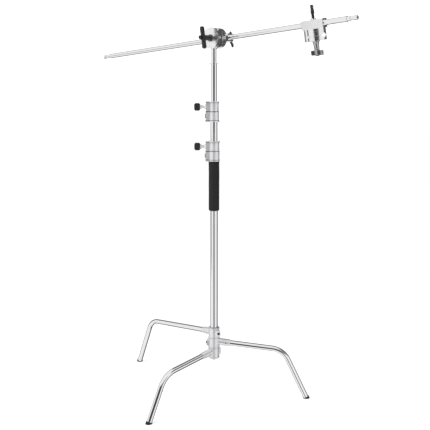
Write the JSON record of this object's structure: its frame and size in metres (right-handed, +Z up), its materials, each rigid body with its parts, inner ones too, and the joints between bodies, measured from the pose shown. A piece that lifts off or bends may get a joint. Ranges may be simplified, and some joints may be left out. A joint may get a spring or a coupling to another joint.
{
  "type": "c-stand",
  "caption": "Sliding-leg studio stand with telescoping risers, lock collars and an extension arm carried by a round grip head, with a further grip head on the arm.",
  "frame": {"origin": "on the floor, on the axis of the column", "axes": "+Z up along the column; +X along the level direction of the arm towards its second grip head; the stand head's main handle points to -Y"},
  "size_m": [1.0114, 0.4957, 1.2473],
  "materials": {
    "chrome_tube": "polished chrome plate on steel tube",
    "cast_alloy": "polished casting",
    "head_alloy": "machined and polished",
    "black_handle": "black coated casting",
    "plated_handle": "dark plated casting",
    "bright_steel": "turned, bright",
    "black_fasteners": "black oxide",
    "plated_bolt": "plated",
    "pin_steel": "ground",
    "black_plastic": "moulded, fluted",
    "black_foam": "closed-cell foam",
    "foot_rubber": "moulded",
    "nylon": "turned nylon",
    "brass_pad": "plain"
  },
  "bodies": {
    "base_column": {"base_tube": "chrome_tube", "foam_grip": "black_foam", "bottom_plug": "nylon", "bottom_cap": "cast_alloy", "bottom_bolt": "black_fasteners", "hub_spacers": "bright_steel", "stop_ring": "bright_steel", "lower_collar": "cast_alloy", "lower_bush": "nylon", "lower_clamp_bolt": "plated_bolt"},
    "upper_leg": {"hub_upper": "cast_alloy", "leg_tube_upper": "chrome_tube", "leg_pin_upper": "pin_steel", "foot_upper": "foot_rubber", "hub_screw_upper": "black_fasteners"},
    "middle_leg": {"hub_middle": "cast_alloy", "leg_tube_middle": "chrome_tube", "leg_pin_middle": "pin_steel", "foot_middle": "foot_rubber", "hub_screw_middle": "black_fasteners"},
    "lower_leg": {"hub_lower": "cast_alloy", "leg_tube_lower": "chrome_tube", "leg_pin_lower": "pin_steel", "foot_lower": "foot_rubber", "hub_screw_lower": "black_fasteners"},
    "lower_knob": {"lower_lock_screw": "bright_steel", "lower_knob": "black_plastic", "lower_lock_pad": "brass_pad"},
    "middle_riser": {"middle_tube": "chrome_tube", "upper_collar": "cast_alloy", "upper_bush": "nylon", "upper_clamp_bolt": "plated_bolt"},
    "upper_knob": {"upper_lock_screw": "bright_steel", "upper_knob": "black_plastic", "upper_lock_pad": "brass_pad"},
    "top_riser": {"top_tube": "chrome_tube", "top_stud": "bright_steel"},
    "stand_inner_jaw": {"stand_inner_jaw": "head_alloy"},
    "stand_outer_jaw": {"stand_outer_jaw": "head_alloy", "stand_thrust_washer": "bright_steel"},
    "stand_handle": {"stand_handle": "black_handle"},
    "stand_head": {"stand_head_body": "head_alloy", "stand_centre_bolt": "bright_steel"},
    "stand_receiver_screw": {"stand_receiver_screw": "bright_steel", "stand_small_handle": "black_handle"},
    "hung_inner_jaw": {"hung_inner_jaw": "head_alloy"},
    "hung_outer_jaw": {"hung_outer_jaw": "head_alloy", "hung_thrust_washer": "bright_steel"},
    "hung_handle": {"hung_handle": "plated_handle"},
    "hung_head": {"hung_head_body": "head_alloy", "hung_centre_bolt": "bright_steel"},
    "hung_receiver_screw": {"hung_receiver_screw": "bright_steel", "hung_small_handle": "black_handle"},
    "arm": {"arm_tube": "chrome_tube", "arm_spigot_left": "bright_steel", "arm_spigot_right": "bright_steel"}
  },
  "joints": [
    {"name": "upper_leg_swing", "type": "hinge", "parent": "base_column", "child": "upper_leg", "pos_m": [0, 0, 0.2319], "axis": [0, 0, 1], "range_deg": [-127, 93]},
    {"name": "middle_leg_swing", "type": "hinge", "parent": "base_column", "child": "middle_leg", "pos_m": [0, 0, 0.1977], "axis": [0, 0, 1], "range_deg": [-139, 127]},
    {"name": "lower_leg_swing", "type": "hinge", "parent": "base_column", "child": "lower_leg", "pos_m": [0, 0, 0.1635], "axis": [0, 0, 1], "range_deg": [-93, 139]},
    {"name": "lower_knob_turn", "type": "hinge", "parent": "base_column", "child": "lower_knob", "pos_m": [0, 0, 0.836], "axis": [-0.766, -0.6428, 0], "range_deg": [0, 720]},
    {"name": "middle_riser_slide", "type": "slide", "parent": "base_column", "child": "middle_riser", "axis": [0, 0, 1], "range_m": [-0.055, 0.45]},
    {"name": "upper_knob_turn", "type": "hinge", "parent": "middle_riser", "child": "upper_knob", "pos_m": [0, 0, 0.9585], "axis": [-0.766, -0.6428, 0], "range_deg": [0, 720]},
    {"name": "top_riser_slide", "type": "slide", "parent": "middle_riser", "child": "top_riser", "axis": [0, 0, 1], "range_m": [-0.105, 0.45]},
    {"name": "stand_head_pan", "type": "hinge", "parent": "top_riser", "child": "stand_inner_jaw", "pos_m": [0, 0, 1.1655], "axis": [0, 0, 1], "continuous": true},
    {"name": "arm_tilt", "type": "hinge", "parent": "stand_inner_jaw", "child": "stand_head", "pos_m": [0, 0, 1.1655], "axis": [0, -1, 0], "range_deg": [-50, 45]},
    {"name": "stand_jaw_slide", "type": "slide", "parent": "stand_inner_jaw", "child": "stand_outer_jaw", "axis": [0, -1, 0], "range_m": [0, 0.00525]},
    {"name": "stand_handle_turn", "type": "hinge", "parent": "stand_outer_jaw", "child": "stand_handle", "pos_m": [0, 0, 1.1655], "axis": [0, -1, 0], "range_deg": [0, 1081]},
    {"name": "stand_receiver_screw_turn", "type": "hinge", "parent": "stand_head", "child": "stand_receiver_screw", "pos_m": [0, 0.0366, 1.1655], "axis": [0, 1, 0], "range_deg": [0, 720]},
    {"name": "arm_slide", "type": "slide", "parent": "stand_head", "child": "arm", "axis": [0.9966, 0, 0.0819], "range_m": [-0.15, 0.2]},
    {"name": "hung_head_swing", "type": "hinge", "parent": "arm", "child": "hung_head", "pos_m": [0.33387, 0.0366, 1.19295], "axis": [0.9966, 0, 0.0819], "continuous": true},
    {"name": "hung_receiver_screw_turn", "type": "hinge", "parent": "hung_head", "child": "hung_receiver_screw", "pos_m": [0.33387, 0.0366, 1.19295], "axis": [-0.0811, -0.1392, 0.9869], "range_deg": [0, 720]},
    {"name": "hung_jaw_turn", "type": "hinge", "parent": "hung_head", "child": "hung_inner_jaw", "pos_m": [0.33387, 0.0366, 1.19295], "axis": [0.0811, 0.1392, -0.9869], "continuous": true},
    {"name": "hung_jaw_slide", "type": "slide", "parent": "hung_inner_jaw", "child": "hung_outer_jaw", "axis": [0.0811, 0.1392, -0.9869], "range_m": [0, 0.00525]},
    {"name": "hung_handle_turn", "type": "hinge", "parent": "hung_outer_jaw", "child": "hung_handle", "pos_m": [0.33387, 0.0366, 1.19295], "axis": [0.0811, 0.1392, -0.9869], "range_deg": [0, 1081]}
  ],
  "couplings": [
    {"joint": "stand_handle_turn", "follows": "stand_jaw_slide", "rad_per_m": 3590.4},
    {"joint": "hung_handle_turn", "follows": "hung_jaw_slide", "rad_per_m": 3590.4}
  ]
}
